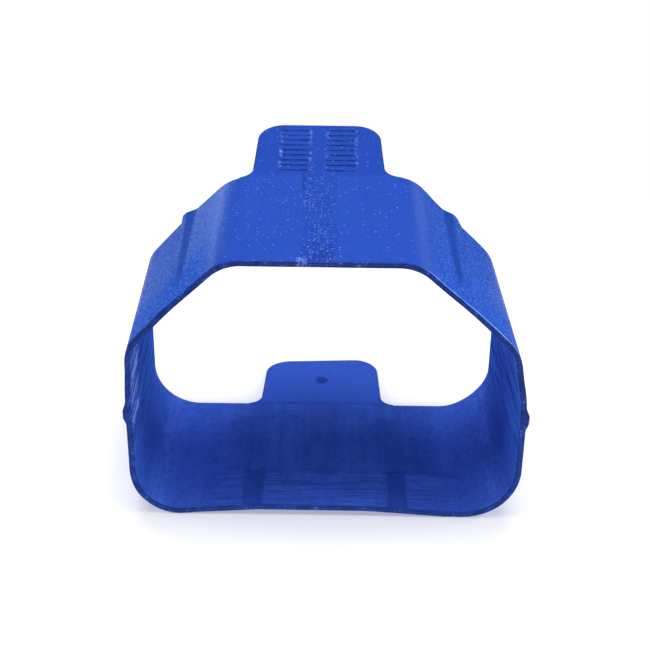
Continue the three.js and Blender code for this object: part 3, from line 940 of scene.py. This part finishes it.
def drawn_plastic():
    """The inner faces: smoother, with lines drawn along the way that the moulding left its core, glossy
    streaks with a painted highlight on the left wall, painted sheen on the foot bends, painted light on the
    floor's sides and the side walls, and fine tooling lines and channels inside the bottom lip."""
    nodes = Nodes("drawn_polypropylene")
    lines = nodes.noise((0.9, 0.05, 0.9), detail=3.0, roughness=0.55)
    streaks = nodes.noise((2.6, 0.10, 2.6), detail=3.0, roughness=0.6)
    scratches = nodes.noise((5.0, 0.16, 5.0), distortion=0.3)
    cloud = nodes.noise((0.35, 0.3, 0.35))
    blotch = nodes.noise((0.8, 0.5, 0.8), detail=3.0, roughness=0.6)
    mottle = nodes.noise((2.4, 1.4, 2.4), detail=3.0, roughness=0.6)
    tooling = nodes.noise((0.22, 6.0, 1.0), detail=3.0, roughness=0.7)
    grain = nodes.noise((6, 6, 6))
    lip, channels = lip_zone(nodes)
    walls = nodes.rising("Z", 2.5, 6)
    sideways = nodes.sideways()
    # Painted sheen along the foot bends.
    foot_bend_sheen = nodes.times(nodes.ramp(sideways, 11.2 * MM, 12.6 * MM),
                            nodes.ramp(sideways, 12.6 * MM, 13.6 * MM, 1.0, 0.0))
    # Glossy streaks on the left inner wall, with a painted highlight in their colour.
    glossy_streak_highlight = nodes.times(nodes.ramp(streaks, 0.54, 0.575), nodes.ramp(blotch, 0.4, 0.48),
                        nodes.band("Z", 6.5, 13.0, 1.0), nodes.falling("X", -13.2, -12.0),
                        nodes.band("Y", MOUTH_Y + 0.3, MOUTH_Y + 4.5, 0.8))

    colour = nodes.mix(nodes.ramp(lines, 0.36, 0.66), INNER_BLUE, PALE_INNER_BLUE)
    colour = nodes.tinted(colour, DEEP_BLUE, nodes.ramp(cloud, 0.35, 0.65), 0.35)
    # Painted light: the inner floor lighter towards its sides.
    colour = nodes.tinted(colour, INNER_SIDE_LIGHT_BLUE, nodes.ramp(sideways, 6.0 * MM, 10.0 * MM), 0.6)
    colour = nodes.tinted(colour, BEND_SHEEN_BLUE, foot_bend_sheen, nodes.ramp(blotch, 0.35, 0.6, 0.35, 0.9),
                          nodes.ramp(streaks, 0.4, 0.6, 0.5, 1.0))
    colour = nodes.tinted(colour, nodes.mix(nodes.ramp(tooling, 0.38, 0.62), *TOOLING_BLUES), lip)
    colour = nodes.tinted(colour, DEEP_BLUE, channels, 0.4)
    # Painted light: the inner side walls lighter than the floor.
    colour = nodes.tinted(colour, INNER_WALL_LIGHT_BLUE, walls, 0.8)
    colour = nodes.tinted(colour, STREAK_BLUE, nodes.ramp(streaks, 0.38, 0.56, 0.6, 0.0),
                          nodes.greatest(walls, 0.06))
    colour = nodes.tinted(colour, STREAK_HIGHLIGHT_BLUE, glossy_streak_highlight)
    colour = nodes.tinted(colour, DEEP_BLUE, nodes.ramp(mottle, 0.45, 0.62), 0.22)
    colour = nodes.tinted(colour, DEEP_BLUE, nodes.ramp(grain, 0.4, 0.6), 0.15)

    roughness = nodes.ramp(scratches, 0.3, 0.7, 0.42, 0.58)
    roughness = nodes.math("SUBTRACT", roughness, nodes.times(glossy_streak_highlight, 0.25))
    height = nodes.plus(lines, nodes.times(scratches, walls, 0.8), nodes.times(tooling, lip))
    return plastic(nodes, colour, roughness, nodes.bump(height, INNER_BUMP), 0.0)


def edge_plastic():
    """The edges: smooth, painted darker as shade, nicked here and there, with a pale witness line, painted
    glints in spots and a painted highlight on the upper right corner.
    """
    nodes = Nodes("edge_polypropylene")
    nicks = nodes.noise((1.3, 1.3, 1.3), detail=3.0, roughness=0.65)
    grain = nodes.noise((6, 6, 6))
    # Painted shade: the edges darker, as they face away from the light.
    colour = nodes.mix(nodes.ramp(nicks, 0.35, 0.7), NAVY, EDGE_SHADE_BLUE)
    # Pale along the witness line, and a painted highlight on the mouth's upper right corner.
    colour = nodes.tinted(colour, PALE_BLUE, nodes.ramp(nodes.relief(), 0.1, 0.9),
                          nodes.ramp(nicks, 0.3, 0.5, 0.5, 1.0))
    # Painted glints on the edges, in spots.
    edge_glint_spots = nodes.ramp(nicks, 0.46, 0.62)
    colour = nodes.tinted(colour, PALE_BLUE, nodes.ramp(grain, 0.56, 0.68), edge_glint_spots, 0.4)
    # Painted highlight on the gate mark.
    colour = nodes.tinted(colour, PALE_BLUE, nodes.gate_highlight(grain), 0.6)
    roughness = nodes.ramp(nicks, 0.3, 0.7, 0.22, 0.38)
    height = nodes.plus(nicks, nodes.times(grain, 0.3))
    return plastic(nodes, colour, roughness, nodes.bump(height, EDGE_BUMP), EDGE_GLOSS)


def floor_material():
    nodes = Nodes("pale_floor", laid=False)
    cloud = nodes.noise((0.02, 0.02, 0.02))
    nodes.put(nodes.mix(nodes.ramp(cloud, 0.3, 0.7), *FLOOR_GREYS), nodes.shader.inputs["Base Color"])
    nodes.shader.inputs["Roughness"].default_value = 0.9
    nodes.shader.inputs["Emission Color"].default_value = (1, 1, 1, 1)
    nodes.shader.inputs["Emission Strength"].default_value = 0.14
    nodes.shader.inputs["Specular IOR Level"].default_value = 0.0
    return nodes.material


# ---- Studio ----
FLOOR_RADIUS = 55.0
FLOOR_DROP = -0.03


def add_floor():
    sides = 96
    angles = [2 * math.pi * i / sides for i in range(sides)]
    rim = [(FLOOR_RADIUS * math.cos(a), FLOOR_RADIUS * math.sin(a), FLOOR_DROP) for a in angles]
    floor = make_object("floor", rim, [list(range(sides))], [floor_material()])


def add_softbox(name, place, aim, power, width, height, colour=(1, 1, 1)):
    data = bpy.data.lights.new(name, "AREA")
    data.shape = "RECTANGLE"
    data.energy = power
    data.color = colour
    data.size = width * MM
    data.size_y = height * MM
    light = bpy.data.objects.new(name, data)
    light.location = Vector(place) * MM
    light.rotation_mode = "QUATERNION"
    light.rotation_quaternion = (Vector(aim) * MM - light.location).to_track_quat("-Z", "Y")
    light.visible_camera = False
    bpy.context.scene.collection.objects.link(light)


def add_world():
    world = bpy.data.worlds.new("studio")
    bpy.context.scene.world = world
    world.use_nodes = True
    tree = world.node_tree
    surround = tree.nodes["Background"]
    surround.inputs["Color"].default_value = (0.85, 0.93, 1.0, 1)
    surround.inputs["Strength"].default_value = 0.02
    backdrop = tree.nodes.new("ShaderNodeBackground")
    backdrop.inputs["Color"].default_value = (1, 1, 1, 1)
    backdrop.inputs["Strength"].default_value = 1.0
    seen = tree.nodes.new("ShaderNodeLightPath")
    mix = tree.nodes.new("ShaderNodeMixShader")
    tree.links.new(seen.outputs["Is Camera Ray"], mix.inputs[0])
    tree.links.new(surround.outputs[0], mix.inputs[1])
    tree.links.new(backdrop.outputs[0], mix.inputs[2])
    tree.links.new(mix.outputs[0], tree.nodes["World Output"].inputs["Surface"])


def add_lights():
    middle = (0, -3, 10)
    sky = (0.6, 0.8, 1.0)
    add_softbox("overhead", (0, 0, 420), middle, 0.94, 380, 380)
    add_softbox("overhead_rear", (0, 120, 420), middle, 0.63, 300, 200)
    add_softbox("left", (-350, 0, 220), middle, 0.50, 200, 200)
    add_softbox("right", (350, 0, 220), middle, 0.58, 200, 200)
    add_softbox("front_fill", (0, -380, 160), middle, 1.05, 300, 200)
    add_softbox("front_right", (300, -240, 110), middle, 0.2, 70, 50)
    add_softbox("rear_left", (-125, 320, -1), (-9, 3, 18), 0.075, 85, 80, sky)
    add_softbox("rear_right", (150, 300, 60), (9, 3, 18), 0.045, 90, 80, sky)


# ---- Build ----
def build():
    bpy.context.scene.view_settings.view_transform = "Standard"
    add_camera()
    grained, drawn, edge = grained_plastic(), drawn_plastic(), edge_plastic()
    band = band_mesh([grained, drawn, edge])
    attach(band, "sleeve")
    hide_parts("sleeve")

    rear_slope = math.atan2(SLEEVE_HEIGHT * (1 - REAR_SCALE), DEPTH)
    crease = {joint["child"]: joint for joint in frame["record"]["behaviour"]["joints"]}
    upper = tab_mesh("upper_tab_moulding", [grained, drawn, edge], crease["upper_tab"]["pos_m"][2] / MM,
                     rear_slope, flare=UPPER_TAB_FLARE, pattern=bar_relief, height=BAR_HEIGHT, slant=0.0,
                     shift=TAB_SHIFT, flat_half=TOP_FLAT_HALF)
    lower = tab_mesh("lower_tab_moulding", [grained, grained, edge], crease["lower_tab"]["pos_m"][2] / MM,
                     0.0, flare=LOWER_TAB_SET, pattern=ejector_relief, height=EJECTOR_MARK_DEPTH,
                     slant=LOWER_TAB_SLANT, shift=0.0, flat_half=SLEEVE_WIDTH)
    for tab, node in ((upper, "upper_tab"), (lower, "lower_tab")):
        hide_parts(node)
        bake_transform(tab)
    add_floor()
    add_world()
    add_lights()


build()
